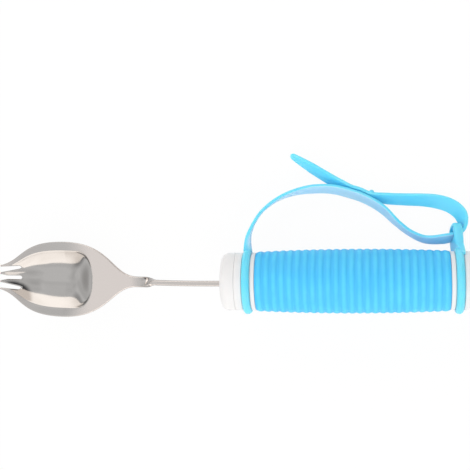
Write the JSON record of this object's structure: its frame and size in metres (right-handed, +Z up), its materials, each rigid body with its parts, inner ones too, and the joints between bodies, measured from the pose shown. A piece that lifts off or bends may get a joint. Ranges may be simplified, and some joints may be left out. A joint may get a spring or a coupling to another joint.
{
  "type": "adaptive spork",
  "caption": "Steel spork on a bendable twisted strip shank, with a built-up ribbed barrel grip and a swivelling silicone hand strap for people with a weak grasp.",
  "frame": {"origin": "centre of the rear cap's flat end face, on the handle's axis", "axes": "+X along the handle out of its rear end, so the tines point to -X; +Y to the strap's side; +Z up, out of the bowl"},
  "size_m": [0.2149, 0.0724, 0.0283],
  "materials": {
    "steel": "satin polished stainless",
    "white_plastic": "satin moulded",
    "blue_rubber": "matte ribbed",
    "clear_blue_silicone": "translucent satin"
  },
  "bodies": {
    "handle": {"core_tube": "white_plastic", "front_cap": "white_plastic", "rear_cap": "white_plastic", "grip_sleeve": "blue_rubber", "shank_tang": "steel", "tang_pin": "steel", "shank_bend": "steel"},
    "head": {"spork_head": "steel"},
    "strap": {"hand_strap": "clear_blue_silicone", "keeper_ring": "clear_blue_silicone"}
  },
  "joints": [
    {"name": "shank_bend_hinge", "type": "hinge", "parent": "handle", "child": "head", "pos_m": [-0.12915, -0.00085, 0], "axis": [0, 0, 1], "range_deg": [-60, 60], "deforming": ["shank_bend"]},
    {"name": "strap_swivel", "type": "hinge", "parent": "handle", "child": "strap", "pos_m": [-0.057, 0, 0], "axis": [1, 0, 0], "continuous": true}
  ]
}
